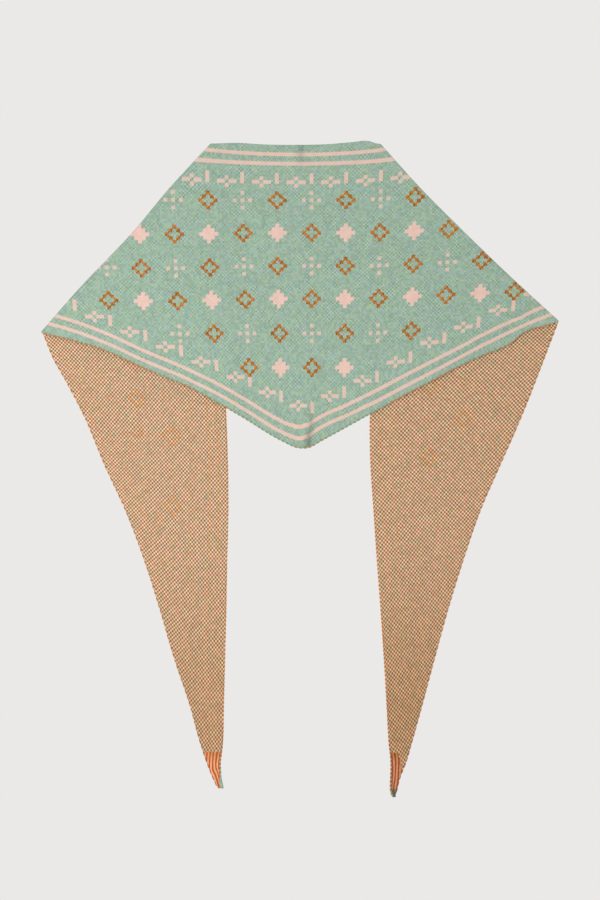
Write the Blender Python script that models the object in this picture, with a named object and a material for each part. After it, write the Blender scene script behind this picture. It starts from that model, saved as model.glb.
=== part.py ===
"""Triangle shawl in jacquard knit, laid flat with both ends folded under.

The cloth is one knitted triangle. The middle lies face up. At a slanting fold on each side it turns
under, and the end runs back below the middle and out past the hem as a tail, reverse side up. There are
three solids: the middle with both turned folds, and the two tails, which start just inside the folds.

Lengths here are in millimetres, and the meshes are made in metres. Seen from above, X runs to the
right and Y from the tips to the neck edge. Z is up, with the surface that the shawl lies on at 0.
"""

from collections import namedtuple
import math

import bmesh
import bpy
import numpy as np

MM = 0.001

# The cloth and how its layers lie
WALL = 2.2
GAP = 0.3
LAYER = WALL + GAP
FOLD_RADIUS = 2.0
FOLD_REACH = FOLD_RADIUS + WALL / 2
FOLD_RISE = 2 * FOLD_RADIUS - LAYER
FOLD_EASE = 16.0
TUCK = 10.0
STEP_START = 6.0
STEP_LENGTH = 24.0

# The crease down the middle, from the shawl being stored folded in half
CREASE_TOP_X = -2.5
CREASE_SLANT = -0.02
CREASE_RISE = 0.8
CREASE_WIDTH = 9.0
NECK_Y = 405.0

# The curl of a tail's edge near its tip
CURL_ARC = 7.5
CURL_REACH = 46.0
TIP_SHARE = 0.9

# Facets
ROWS = 18
PANEL_COLUMNS = 50
BEND_COLUMNS = 6
LEG_COLUMNS = 1
TAIL_ROWS = 16
TIP_ROWS = 12
TAIL_COLUMNS = 7
CURL_COLUMNS = 6

Point = namedtuple("Point", "x y")
Station = namedtuple("Station", "y outer inner")
Side = namedtuple("Side", "name fold neck_slant hem_slant stations curl")

# The neck edge between the two folds, left to right
NECK_EDGE = (
    Point(-80, 407.5),
    Point(-45, 405.6),
    Point(0, 405.0),
    Point(35, 406.0),
    Point(66, 408.5),
    Point(84, 409.9),
)

# The hem between the two folds, left to right, past the lowest point of the triangle
HEM = (
    Point(-250, 151),
    Point(-194, 126),
    Point(-137, 102),
    Point(-72, 65.5),
    Point(-21, 35),
    Point(-2.5, 27),
    Point(10, 27),
    Point(25, 35),
    Point(88, 69.5),
    Point(163, 109.5),
    Point(237, 146.5),
    Point(285, 170.5),
)

# Each side: its fold from the neck edge to the hem, how the two edges cross the fold, and the tail's
# width at stations from the hem to the tip
LEFT = Side(
    name="tail_left",
    fold=(
        Point(-112, 406.5),
        Point(-165, 349),
        Point(-206.5, 299),
        Point(-277.5, 224),
        Point(-323.5, 171.5),
    ),
    neck_slant=0.89,
    hem_slant=0.32,
    stations=(
        Station(y=140, outer=-309, inner=-97),
        Station(y=110, outer=-292.5, inner=-95),
        Station(y=65, outer=-269, inner=-92.5),
        Station(y=5, outer=-244, inner=-90.5),
        Station(y=-55, outer=-216.5, inner=-90),
        Station(y=-115, outer=-194, inner=-91.5),
        Station(y=-175, outer=-175, inner=-92.5),
        Station(y=-235, outer=-157.5, inner=-94),
        Station(y=-295, outer=-137.5, inner=-95.5),
        Station(y=-340, outer=-125, inner=-96.5),
        Station(y=-370, outer=-115, inner=-99),
        Station(y=-385, outer=-109, inner=-98),
        Station(y=-399, outer=-102.5, inner=-95),
    ),
    curl=math.radians(200),
)
RIGHT = Side(
    name="tail_right",
    fold=(
        Point(101, 406),
        Point(152.5, 349),
        Point(202.5, 299),
        Point(254, 249),
        Point(323.5, 185),
    ),
    neck_slant=0.99,
    hem_slant=0.34,
    stations=(
        Station(y=155, outer=311.5, inner=91.5),
        Station(y=125, outer=300, inner=90.5),
        Station(y=95, outer=288.5, inner=89),
        Station(y=50, outer=270, inner=87.5),
        Station(y=5, outer=250, inner=88.5),
        Station(y=-55, outer=224, inner=92.5),
        Station(y=-115, outer=203.5, inner=96.5),
        Station(y=-175, outer=185, inner=101),
        Station(y=-235, outer=168.5, inner=105),
        Station(y=-295, outer=152.5, inner=108.5),
        Station(y=-340, outer=140, inner=111),
        Station(y=-370, outer=131, inner=113.5),
        Station(y=-385, outer=125, inner=112.5),
        Station(y=-401, outer=121, inner=112.5),
        Station(y=-410, outer=119, inner=115),
    ),
    curl=math.radians(110),
)

UP = np.array((0.0, 0.0, 1.0))


def curve(points, shares):
    """Points at these shares of the length of a smooth curve through the points."""
    through = np.array(points, float)
    along = np.concatenate([[0.0], np.cumsum(np.linalg.norm(np.diff(through, axis=0), axis=1))])
    slope = np.gradient(through, along, axis=0)
    at = np.asarray(shares, float) * along[-1]
    i = np.clip(np.searchsorted(along, at, side="right") - 1, 0, len(through) - 2)
    span = (along[i + 1] - along[i])[:, None]
    t = (at - along[i])[:, None] / span
    return (
        (2 * t**3 - 3 * t**2 + 1) * through[i]
        + (t**3 - 2 * t**2 + t) * span * slope[i]
        + (3 * t**2 - 2 * t**3) * through[i + 1]
        + (t**3 - t**2) * span * slope[i + 1]
    )


def ease(x):
    """0 below 0, 1 above 1, and a smooth step between them."""
    x = np.clip(x, 0.0, 1.0)
    return x * x * (3 - 2 * x)


def spatial(flat, height):
    """Points of the plane, raised to a height."""
    return np.concatenate([flat, np.broadcast_to(height, flat.shape[:-1])[..., None]], axis=-1)


class Fold:
    """The line where one end turns under. Shares run from the neck edge, 0, to the hem, 1."""

    def __init__(self, side):
        self.side = side
        self.inward = 1.0 if side.fold[0].x < 0 else -1.0

    def frame(self, shares):
        """Points on the fold's outermost line, the way along it and the way in from it."""
        shares = np.asarray(shares, float)
        small = 0.01
        ahead = curve(self.side.fold, np.minimum(shares + small, 1))
        behind = curve(self.side.fold, np.maximum(shares - small, 0))
        along = ahead - behind
        along /= np.linalg.norm(along, axis=-1, keepdims=True)
        inward = np.stack([-along[:, 1], along[:, 0]], axis=-1) * self.inward
        return curve(self.side.fold, shares), along, inward

    def slant(self, shares):
        """How far an edge moves along the fold for each millimetre of cloth that goes round it."""
        return (self.side.neck_slant + (self.side.hem_slant - self.side.neck_slant) * shares)[:, None]

    def turned(self, shares, angle):
        """Middle of the wall round the bend, at an angle from its outermost line, and the way out."""
        point, along, inward = self.frame(shares)
        in_by = FOLD_REACH - FOLD_RADIUS * math.cos(angle)
        flat = point + inward * in_by - along * self.slant(shares) * FOLD_RADIUS * angle
        height = WALL / 2 + FOLD_RADIUS * (1 + math.sin(angle))
        out = spatial(-inward * math.cos(angle), math.sin(angle))
        return spatial(flat, height), out

    def under(self, shares, in_by):
        """Points of the leg that lies under, at a distance in from the fold's outermost line."""
        point, along, inward = self.frame(shares)
        cloth = FOLD_RADIUS * math.pi / 2 + in_by - FOLD_REACH
        return point + inward * in_by + along * self.slant(shares) * cloth

    def distance(self, flat):
        """How far points of the plane lie from the fold's outermost line."""
        line = curve(self.side.fold, np.linspace(0, 1, 200))
        return np.linalg.norm(flat[..., None, :] - line, axis=-1).min(axis=-1)


def tail_edges(fold, shares):
    """The inner and outer edges of a tail at shares of their lengths, from the fold to the tip."""
    start = fold.under(np.array((0.0, 1.0)), TUCK + GAP)
    inner = [start[0], *(Point(s.inner, s.y) for s in fold.side.stations)]
    outer = [start[1], *(Point(s.outer, s.y) for s in fold.side.stations)]
    return curve(inner, shares), curve(outer, shares)


def lift(flat, folds):
    """Height of the middle of the wall where the middle of the shawl lies at points of the plane."""
    beyond = np.full(flat.shape[:-1], np.inf)
    rise = np.zeros(flat.shape[:-1])
    for fold in folds:
        edge, _ = tail_edges(fold, np.linspace(0, 1, 200))
        inner_x = np.interp(flat[..., 1], edge[::-1, 1], edge[::-1, 0])
        beyond = np.minimum(beyond, (flat[..., 0] - inner_x) * fold.inward)
        rise += 1 - ease((fold.distance(flat) - FOLD_REACH) / FOLD_EASE)
    over_tails = 1 - ease((beyond - STEP_START) / STEP_LENGTH)
    crease_x = CREASE_TOP_X + CREASE_SLANT * (flat[..., 1] - NECK_Y)
    crease = np.exp(-(((flat[..., 0] - crease_x) / CREASE_WIDTH) ** 2))
    return WALL / 2 + LAYER * over_tails + FOLD_RISE * rise + CREASE_RISE * crease


def patch(top, bottom, left, right, across, down):
    """A smooth grid of points inside four edges, at shares across and down."""
    u, v = across[None, :, None], down[:, None, None]
    corners = (1 - v) * ((1 - u) * top[0] + u * top[-1]) + v * ((1 - u) * bottom[0] + u * bottom[-1])
    return (1 - v) * top[None] + v * bottom[None] + (1 - u) * left[:, None] + u * right[:, None] - corners


def middle():
    """The face-up stretch with both turned folds: middle of the wall and the way to the face."""
    down = np.linspace(0, 1, ROWS)
    folds = Fold(LEFT), Fold(RIGHT)
    half = math.pi / 2
    sides = []
    for fold in folds:
        columns = []
        for in_by in np.linspace(TUCK, FOLD_REACH, LEG_COLUMNS + 1)[:-1]:
            points = spatial(fold.under(down, in_by), WALL / 2)
            columns.append((points, np.broadcast_to(-UP, points.shape)))
        columns += [fold.turned(down, a) for a in np.linspace(-half, half, BEND_COLUMNS + 1)]
        sides.append(columns)
    left, right = (columns[-1][0][:, :2] for columns in sides)
    # Columns stand closer together beside the folds, where the cloth rounds over
    even = np.linspace(-1, 1, PANEL_COLUMNS + 1)
    across = 0.5 + 0.5 * np.sin(even * half * 0.7) / math.sin(half * 0.7)
    neck = curve([left[0], *NECK_EDGE, right[0]], across)
    hem = curve([left[-1], *HEM, right[-1]], across)
    flat = patch(neck, hem, left, right, across, down)
    panel = spatial(flat, lift(flat, folds))[:, 1:-1]
    mid = np.concatenate(
        [np.stack([p for p, _ in sides[0]], axis=1), panel, np.stack([p for p, _ in sides[1][::-1]], axis=1)],
        axis=1,
    )
    out = np.concatenate(
        [
            np.stack([o for _, o in sides[0]], axis=1),
            np.broadcast_to(UP, panel.shape),
            np.stack([o for _, o in sides[1][::-1]], axis=1),
        ],
        axis=1,
    )
    return mid, out


def tail(side):
    """A tail from just inside its fold to its curled tip: middle of the wall and the way to the face."""
    fold = Fold(side)
    long_part = np.linspace(0, TIP_SHARE, TAIL_ROWS, endpoint=False)
    shares = np.concatenate([long_part, np.linspace(TIP_SHARE, 1, TIP_ROWS)])
    inner, outer = tail_edges(fold, shares)
    to_tip = np.linalg.norm(inner - inner[-1], axis=-1)
    rows, ways = [], []
    for row, share in enumerate(shares):
        across = (outer[row] - inner[row]) / np.linalg.norm(outer[row] - inner[row])
        angle = max(side.curl * ease(1 - to_tip[row] / CURL_REACH), 1e-3)
        radius = CURL_ARC / angle
        shown = math.sin(min(angle, math.pi / 2))
        start = inner[row] + across * shown * (radius + WALL / 2)
        turns = np.linspace(angle, 0, CURL_COLUMNS + 1)[:, None]
        curled = spatial(start - across * radius * np.sin(turns), WALL / 2)
        curled[:, 2:] += radius * (1 - np.cos(turns))
        way = np.concatenate([-across * np.sin(turns), -np.cos(turns)], axis=1)
        steps = np.linspace(0, 1, TAIL_COLUMNS + 1)[1:, None]
        plain = spatial(start + (outer[row] - start) * steps, WALL / 2)
        points = np.concatenate([curled, plain])
        # The first rows follow the fold, which isn't quite straight
        placed = np.clip((points[:, :2] - inner[row]) @ across / np.linalg.norm(outer[row] - inner[row]), 0, 1)
        bow = fold.under(placed, TUCK + GAP) - (inner[0] + (outer[0] - inner[0]) * placed[:, None])
        points[:, :2] += bow * (1 - share) ** 3
        rows.append(points)
        ways.append(np.concatenate([way, np.broadcast_to(-UP, plain.shape)]))
    return np.array(rows), np.array(ways)


def material(name, colour, roughness):
    """A plain knit material."""
    made = bpy.data.materials.new(name)
    made.use_nodes = True
    shader = made.node_tree.nodes["Principled BSDF"]
    shader.inputs["Base Color"].default_value = (*colour, 1)
    shader.inputs["Roughness"].default_value = roughness
    shader.inputs["Metallic"].default_value = 0
    return made


def cloth(name, mid, out, finish):
    """A closed wall of cloth round a grid of points, with its face on the side that out points to."""
    rows, columns = mid.shape[:2]
    mesh = bmesh.new()
    face, back = (
        [[mesh.verts.new(point * MM) for point in row] for row in mid + out * offset]
        for offset in (WALL / 2, -WALL / 2)
    )
    for i in range(rows - 1):
        for j in range(columns - 1):
            mesh.faces.new((face[i][j], face[i + 1][j], face[i + 1][j + 1], face[i][j + 1]))
            mesh.faces.new((back[i][j], back[i][j + 1], back[i + 1][j + 1], back[i + 1][j]))
    rim = (
        [(i, 0) for i in range(rows)]
        + [(rows - 1, j) for j in range(1, columns)]
        + [(i, columns - 1) for i in range(rows - 2, -1, -1)]
        + [(0, j) for j in range(columns - 2, 0, -1)]
    )
    for (i, j), (k, m) in zip(rim, rim[1:] + rim[:1]):
        mesh.faces.new((face[k][m], face[i][j], back[i][j], back[k][m]))
    bmesh.ops.recalc_face_normals(mesh, faces=mesh.faces)
    data = bpy.data.meshes.new(name)
    mesh.to_mesh(data)
    mesh.free()
    data.shade_smooth()
    data.materials.append(finish)
    made = bpy.data.objects.new(name, data)
    bpy.context.scene.collection.objects.link(made)
    bpy.context.view_layer.objects.active = made
    data.set_sharp_from_angle(angle=math.radians(50))
    return made


def main():
    """Clears the scene and builds the shawl."""
    for thing in list(bpy.data.objects):
        bpy.data.objects.remove(thing)
    face = material("green knit face", (0.33, 0.47, 0.37), 0.9)
    reverse = material("speckled knit reverse", (0.58, 0.38, 0.23), 0.9)
    cloth("middle", *middle(), face)
    for side in (LEFT, RIGHT):
        cloth(side.name, *tail(side), reverse)


main()
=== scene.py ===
"""Triangle shawl in jacquard knit, laid flat with both ends folded under: how it looks.

The middle lies face up, pale green with small pink and orange figures. Each end turns under at a
slanting fold and runs out below the hem as a tail, with its speckled reverse up and its tip curled.
The cloth is one knit, made here in three sheets that meet just inside the folds, with a row of edge
stitches along the hem and along both edges of each tail.

Lengths are in millimetres until a mesh is made, which is in metres. Seen from above, X runs to the
right and Y from the tips to the neck edge. Z is up, with the surface that the shawl lies on at 0.
"""

from __future__ import annotations

import logging
import math
from collections.abc import Callable, Mapping, Sequence
from dataclasses import dataclass, field
from enum import Enum

import bpy
import numpy as np
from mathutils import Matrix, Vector

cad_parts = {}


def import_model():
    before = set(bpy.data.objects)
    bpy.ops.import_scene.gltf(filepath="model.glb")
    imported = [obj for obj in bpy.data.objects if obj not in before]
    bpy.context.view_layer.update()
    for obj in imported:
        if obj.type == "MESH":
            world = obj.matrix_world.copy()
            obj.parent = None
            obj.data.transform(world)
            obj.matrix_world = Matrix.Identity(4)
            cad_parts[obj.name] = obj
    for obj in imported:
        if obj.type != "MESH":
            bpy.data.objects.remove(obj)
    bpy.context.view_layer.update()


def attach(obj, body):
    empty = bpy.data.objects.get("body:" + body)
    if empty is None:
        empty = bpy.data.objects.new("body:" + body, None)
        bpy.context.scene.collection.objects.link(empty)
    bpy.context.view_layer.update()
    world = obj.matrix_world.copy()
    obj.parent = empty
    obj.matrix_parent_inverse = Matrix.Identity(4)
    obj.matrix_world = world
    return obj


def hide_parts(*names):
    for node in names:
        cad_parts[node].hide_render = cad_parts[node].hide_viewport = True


log = logging.getLogger("shawl")

MM = 0.001
UP = np.array((0.0, 0.0, 1.0))
# Stitches and rows from one figure to the next
REPEAT = 18
# The rows of the two stripes, counted from the neck edge and again from the hem
STRIPES = (5, 10)
# A place far from the ribs of any tip, for the finish
FAR = -99.0

# Rows of numbers
Table = tuple[tuple[float, ...], ...]


class Side(Enum):
    """Which end of the shawl."""

    LEFT = "left"
    RIGHT = "right"


class Layer(Enum):
    """The faces of a sheet, in the order of its material slots."""

    FACE = 0
    REVERSE = 1
    RIM = 2


def curve(points: Sequence, shares: np.ndarray) -> np.ndarray:
    """Follows a smooth curve through points.

    Args:
        points: The points of the plane that it passes through.
        shares: Shares of its length, from 0 to 1.

    Returns:
        A point of the plane for each share.
    """
    through = np.array([tuple(p) for p in points], float)
    along = np.concatenate([[0.0], np.cumsum(np.linalg.norm(np.diff(through, axis=0), axis=1))])
    slope = np.gradient(through, along, axis=0)
    at = np.asarray(shares, float) * along[-1]
    i = np.clip(np.searchsorted(along, at, side="right") - 1, 0, len(through) - 2)
    span = (along[i + 1] - along[i])[:, None]
    t = (at - along[i])[:, None] / span
    return (
        (2 * t**3 - 3 * t**2 + 1) * through[i]
        + (t**3 - 2 * t**2 + t) * span * slope[i]
        + (3 * t**2 - 2 * t**3) * through[i + 1]
        + (t**3 - t**2) * span * slope[i + 1]
    )


def eased(x: np.ndarray) -> np.ndarray:
    """Gives 0 below 0, 1 above 1, and a smooth step between them."""
    x = np.clip(x, 0.0, 1.0)
    return x * x * (3 - 2 * x)


def hump(x: np.ndarray, centre: float, width: float) -> np.ndarray:
    """Gives 1 at the centre, fading smoothly to 0 over about the width on each side."""
    return np.exp(-(((x - centre) / width) ** 2))


def spatial(flat: np.ndarray, height: np.ndarray | float) -> np.ndarray:
    """Raises points of the plane to a height."""
    return np.concatenate([flat, np.broadcast_to(height, flat.shape[:-1])[..., None]], axis=-1)


def inset(edge: np.ndarray, inside: np.ndarray, depth: float) -> np.ndarray:
    """Moves the points of an edge inwards, towards the points of a line inside it."""
    way = inside - edge
    return edge + way / np.linalg.norm(way, axis=-1, keepdims=True) * depth


def read(table: Table, at: np.ndarray) -> list[np.ndarray]:
    """Reads a table between its rows.

    Args:
        table: Its rows, each with its place first, in rising order.
        at: The places to read it at.

    Returns:
        An array for each further column.
    """
    where, *columns = np.array(table, float).T
    return [np.interp(at, where, column) for column in columns]


def mark(mesh: bpy.types.Mesh, name: str, values: np.ndarray) -> None:
    """Gives each point of a mesh three numbers, which its finish reads."""
    attribute = mesh.attributes.new(name, "FLOAT_VECTOR", "POINT")
    attribute.data.foreach_set("vector", values.astype(np.float32).ravel())


def lines(count: int, length: float, rim: Sequence[float]) -> np.ndarray:
    """Places the lines of a grid, close together at both rims.

    Args:
        count: How many even lines lie between the rims.
        length: The length that the shares are of.
        rim: Distances of the close lines from each end.

    Returns:
        Shares from 0 to 1.
    """
    close = np.array(rim) / length
    inside = np.linspace(close[-1], 1 - close[-1], count)[1:-1]
    return np.concatenate([close, inside, 1 - close[::-1]])


@dataclass(frozen=True)
class Knit:
    """The knit's sizes: its wall, and how its layers lie on each other."""

    wall: float = 2.2
    gap: float = 0.3
    fold_radius: float = 2.0
    fold_ease: float = 16.0
    tuck: float = 10.0
    seam: float = 0.05
    step_start: float = 6.0
    step_length: float = 24.0
    rim: tuple[float, ...] = (0.0, 0.35, 0.95)
    rim_wall: tuple[float, ...] = (0.35, 0.8, 1.0)

    @property
    def layer(self) -> float:
        """How far one layer lies above the next."""
        return self.wall + self.gap

    @property
    def reach(self) -> float:
        """How far a fold's outermost line stands from the middle of its turn."""
        return self.fold_radius + self.wall / 2

    def thinned(self, count: int, both: bool = True) -> np.ndarray:
        """Thins the wall towards the rims.

        Args:
            count: How many lines there are from one end to the other.
            both: Whether the first end is a rim too, as the last one is.

        Returns:
            The share of the wall's thickness at each line.
        """
        walls = np.ones(count)
        close = len(self.rim_wall)
        if both:
            walls[:close] = self.rim_wall
        walls[-close:] = self.rim_wall[::-1]
        return walls


@dataclass(frozen=True)
class Hem:
    """The lower edge of the middle, and the two stripes that run along it.

    Each stripe entry is an X, the height of the lower stripe above the edge, and the gap from there to
    the upper stripe. The ends are where the line runs on to, past both folds.
    """

    points: Table = (
        (-250, 151), (-194, 126), (-137, 102), (-72, 65.5), (-21, 35), (-2.5, 27), (10, 27), (25, 35),
        (88, 69.5), (163, 109.5), (225, 141), (248, 150), (264, 157.5), (277, 169), (290, 175.5),
        (305, 178.5),
    )
    stripes: Table = (
        (-300, 12.9, 12.0), (-275, 11.4, 11.9), (-250, 9.5, 12.0), (-131, 8.8, 12.2), (-94, 10.7, 12.5),
        (-19, 10.2, 13.6), (0, 11.7, 14.6), (19, 16.4, 13.8), (37, 16.4, 13.2), (56, 13.8, 13.0),
        (94, 11.0, 13.6), (169, 10.4, 13.5), (206, 10.5, 12.5), (235, 12.9, 13.2), (248, 14.6, 13.0),
        (264, 14.9, 12.6), (277, 9.0, 11.2), (290, 8.2, 13.0), (305, 11.3, 13.0), (312, 11.9, 13.0),
    )
    ends: tuple[tuple[float, float], tuple[float, float]] = ((-360.0, 190.0), (360.0, 204.0))

    def run_on(self, points: Sequence[Sequence[float]]) -> Table:
        """Runs a line along the hem on, past both folds."""
        return (self.ends[0], *map(tuple, points), self.ends[1])


@dataclass(frozen=True)
class End:
    """One end of the shawl: its fold, and its tail's width from the hem to the tip.

    The wales of the tail rise on their way out from its inner edge: by a share of the distance, which
    changes by Y, and by a bend, which changes by Y. Each station is a height in Y, with the X of the
    outer and of the inner edge there. The crease is where the tail was once folded across.
    """

    side: Side
    fold: Table
    neck_slant: float
    hem_slant: float
    stations: Table
    curl: float
    first_wale: float
    figure_row: float
    figure_from: float
    lean: tuple[float, float, float, float]
    row_at_hem: float
    row_change: float
    ribs_from: float
    ribs_to: float
    crease_y: float

    @property
    def inward(self) -> float:
        """The sign of X that leads from the outer edge to the middle."""
        return 1.0 if self.side is Side.LEFT else -1.0


LEFT = End(
    side=Side.LEFT,
    fold=((-112, 406.5), (-165, 349), (-206.5, 299), (-277.5, 224), (-323.5, 171.5)),
    neck_slant=0.89,
    hem_slant=0.32,
    stations=(
        (140, -309, -97), (110, -292.5, -95), (65, -269, -92.5), (5, -244, -90.5), (-55, -216.5, -90),
        (-115, -194, -91.5), (-175, -175, -92.5), (-235, -157.5, -94), (-295, -137.5, -95.5),
        (-340, -125, -96.5), (-370, -115, -99), (-385, -109, -98), (-399, -102.5, -95),
    ),
    curl=math.radians(200),
    first_wale=-43.1,
    figure_row=2.3,
    figure_from=0.0,
    lean=(0.0, 0.0, 0.0014, -0.0000155),
    row_at_hem=2.17,
    row_change=0.00036,
    ribs_from=-353.5,
    ribs_to=40.0,
    crease_y=-252.0,
)
RIGHT = End(
    side=Side.RIGHT,
    fold=((101, 406), (152.5, 349), (202.5, 299), (254, 249), (323.5, 185)),
    neck_slant=0.99,
    hem_slant=0.34,
    stations=(
        (155, 311.5, 91.5), (125, 300, 90.5), (95, 288.5, 89), (50, 270, 87.5), (5, 250, 88.5),
        (-55, 224, 92.5), (-115, 203.5, 96.5), (-175, 185, 101), (-235, 168.5, 105),
        (-295, 152.5, 108.5), (-340, 140, 111), (-370, 131, 113.5), (-385, 125, 112.5),
        (-401, 121, 112.5), (-410, 119, 115),
    ),
    curl=math.radians(110),
    first_wale=30.4,
    figure_row=2.4,
    figure_from=2.0,
    lean=(0.1, -0.0005, 0.0, 0.0),
    row_at_hem=2.3,
    row_change=0.0012,
    ribs_from=-354.5,
    ribs_to=9.6,
    crease_y=-268.0,
)


@dataclass(frozen=True)
class Fold:
    """The line where one end turns under. Shares run from the neck edge, 0, to the hem, 1."""

    end: End
    knit: Knit
    small: float = 0.01
    samples: int = 120

    def frame(self, shares: np.ndarray) -> tuple[np.ndarray, np.ndarray, np.ndarray]:
        """Finds the ways at places on the fold.

        Args:
            shares: Where along the fold.

        Returns:
            Points on its outermost line, the way along it, and the way in from it.
        """
        shares = np.asarray(shares, float)
        ahead = curve(self.end.fold, np.minimum(shares + self.small, 1))
        behind = curve(self.end.fold, np.maximum(shares - self.small, 0))
        along = ahead - behind
        along /= np.linalg.norm(along, axis=-1, keepdims=True)
        inward = np.stack([-along[:, 1], along[:, 0]], axis=-1) * self.end.inward
        return curve(self.end.fold, shares), along, inward

    def slant(self, shares: np.ndarray) -> np.ndarray:
        """Says how far an edge moves along the fold for each millimetre of cloth round it."""
        end = self.end
        return (end.neck_slant + (end.hem_slant - end.neck_slant) * np.asarray(shares))[:, None]

    def turned(self, shares: np.ndarray, angle: float) -> tuple[np.ndarray, np.ndarray]:
        """Follows the turn.

        Args:
            shares: Where along the fold.
            angle: From the fold's outermost line, up being above 0.

        Returns:
            The middle of the wall, and the way out from the turn.
        """
        knit = self.knit
        point, along, inward = self.frame(shares)
        in_by = knit.reach - knit.fold_radius * math.cos(angle)
        flat = point + inward * in_by - along * self.slant(shares) * knit.fold_radius * angle
        height = knit.wall / 2 + knit.fold_radius * (1 + math.sin(angle))
        return spatial(flat, height), spatial(-inward * math.cos(angle), math.sin(angle))

    def under(self, shares: np.ndarray, in_by: float) -> np.ndarray:
        """Gives points of the leg that lies under, at a distance in from the outermost line."""
        point, along, inward = self.frame(shares)
        return point + inward * in_by + along * self.slant(shares) * self.cloth_to(in_by)

    def unfolded(self, shares: np.ndarray, cloth: float) -> np.ndarray:
        """Lays the cloth round the fold flat again, in the plane of the middle.

        Args:
            shares: Where along the fold.
            cloth: Millimetres of cloth from the outermost line, under being below 0.

        Returns:
            Points of the plane.
        """
        point, along, inward = self.frame(shares)
        even = self.knit.reach - self.knit.fold_radius * math.pi / 2
        return point + inward * (cloth + even) - along * self.slant(shares) * cloth

    def cloth_to(self, in_by: float) -> float:
        """Says how much cloth lies between the outermost line and a place on the leg."""
        return self.knit.fold_radius * math.pi / 2 + in_by - self.knit.reach

    def distance(self, flat: np.ndarray) -> np.ndarray:
        """Measures from points of the plane to the fold's outermost line.

        Args:
            flat: The points.

        Returns:
            A distance for each.
        """
        line = curve(self.end.fold, np.linspace(0, 1, self.samples))
        start, step = line[:-1], np.diff(line, axis=0)
        away = flat[..., None, :] - start
        t = np.clip((away * step).sum(-1) / (step**2).sum(-1), 0, 1)
        return np.linalg.norm(away - t[..., None] * step, axis=-1).min(axis=-1)


@dataclass(frozen=True)
class StitchMap:
    """Where each stitch of the middle lies.

    A wale is a column of stitches and a row is a course, both counted as lengths: wale 0 is the one
    under the middle figures, and row 0 is the neck edge. The third number runs up from the hem, and
    is 5 on the lower stripe and 10 on the upper one.

    The pitch is the height of a row and the width that of a repeat, both at the neck edge: from row to
    row the pitch grows and the width shrinks. The rows hang in the middle, by a table of rows and
    millimetres. Further right they climb, by a table of rows and slopes. The count starts from the
    first pitch and width, and a few rounds correct it.
    """

    hem: Hem
    line: Table
    neck_y: float = 405.0
    neck_gap: float = 0.6
    pitch: float = 2.25
    pitch_change: float = 0.000525
    centre_x: float = 14.4
    width: float = 43.75
    width_change: float = 0.023
    width_outwards: float = 0.0106
    first_pitch: float = 2.3
    first_width: float = 43.0
    rounds: int = 8
    sag: Table = ((0, 3.75), (5, 6.5), (10, 3.75), (20, 3.5), (30, 1.25), (48, 0))
    sag_left: float = 119.0
    sag_right: float = 108.0
    sag_most: float = 1.4
    climb: Table = ((0, 0.03), (45, 0.04), (66, 0.048), (84, 0.05), (104, 0.07))
    climb_from: float = 90.0
    climb_most: float = 13.0

    def rows_down(self, depth: np.ndarray, x: np.ndarray, rows: np.ndarray) -> np.ndarray:
        """Corrects a count of rows once.

        Args:
            depth: Millimetres below the neck line.
            x: Where across the shawl.
            rows: The count so far.

        Returns:
            A closer count.
        """
        (sag,) = read(self.sag, rows)
        bow = np.minimum(np.where(x < 0, (x / self.sag_left) ** 2, (x / self.sag_right) ** 2), self.sag_most)
        # Here and there the rows lie lower: far left near row 75, all across near row 22, and on the
        # left between rows 12 and 60
        low = 2.5 * hump(x, -175, 65) * hump(rows, 75, 22) + 0.9 * hump(rows, 22, 14)
        low += 1.5 * eased((-30 - x) / 100) * eased((rows - 12) / 15) * (1 - eased((rows - 60) / 20))
        (slope,) = read(self.climb, rows)
        high = np.minimum(slope * np.maximum(x - self.climb_from, 0), self.climb_most)
        # Near row 84 they lie higher, but not far left
        high += 1.1 * hump(rows, 84, 12) * eased((x + 90) / 60)
        level = depth - self.neck_gap + sag * bow - low + high
        under_root = np.maximum(self.pitch**2 + 4 * self.pitch_change * level, 0.01)
        return (-self.pitch + np.sqrt(under_root)) / (2 * self.pitch_change)

    def repeats_across(self, x: np.ndarray, rows: np.ndarray) -> np.ndarray:
        """Counts the repeats of the pattern from the middle figures.

        Args:
            x: Where across the shawl.
            rows: The row of each place.

        Returns:
            A count for each place, to the right above 0.
        """
        away = x - self.centre_x
        repeat = away / self.first_width
        for _ in range(self.rounds):
            # Left of the middle the lower rows are pushed a little to the right
            squeeze = 5.75 * eased((rows - 60) / 80) * hump(repeat, -2.7, 1.9)
            even = away - squeeze - self.width_outwards * repeat**3
            repeat = even / (self.width - self.width_change * rows)
        return repeat

    def at(self, flat: np.ndarray) -> np.ndarray:
        """Counts the wale, the row and the rise from the hem.

        Args:
            flat: Points of the plane.

        Returns:
            Three numbers for each point.
        """
        x, y = flat[..., 0], flat[..., 1]
        depth = self.neck_y - y
        rows = depth / self.first_pitch
        for _ in range(self.rounds):
            rows = self.rows_down(depth, x, rows)
        (edge,) = read(self.line, x)
        lower, gap = read(self.hem.stripes, x)
        first, second = STRIPES
        rise = first + (second - first) * (y - edge - lower) / gap
        return np.stack([REPEAT * self.repeats_across(x, rows), rows, rise], axis=-1)


def math_method(operation: str, reflected: bool = False) -> Callable[[Strand, Strand | float], Strand]:
    """Makes a method that joins two values.

    Args:
        operation: The Math node's operation.
        reflected: Whether the other value comes first.

    Returns:
        The method.
    """

    def method(strand: Strand, other: Strand | float) -> Strand:
        """Adds the Math node."""
        values = (other, strand) if reflected else (strand, other)
        return strand.dye.maths(operation, *values)

    return method


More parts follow.
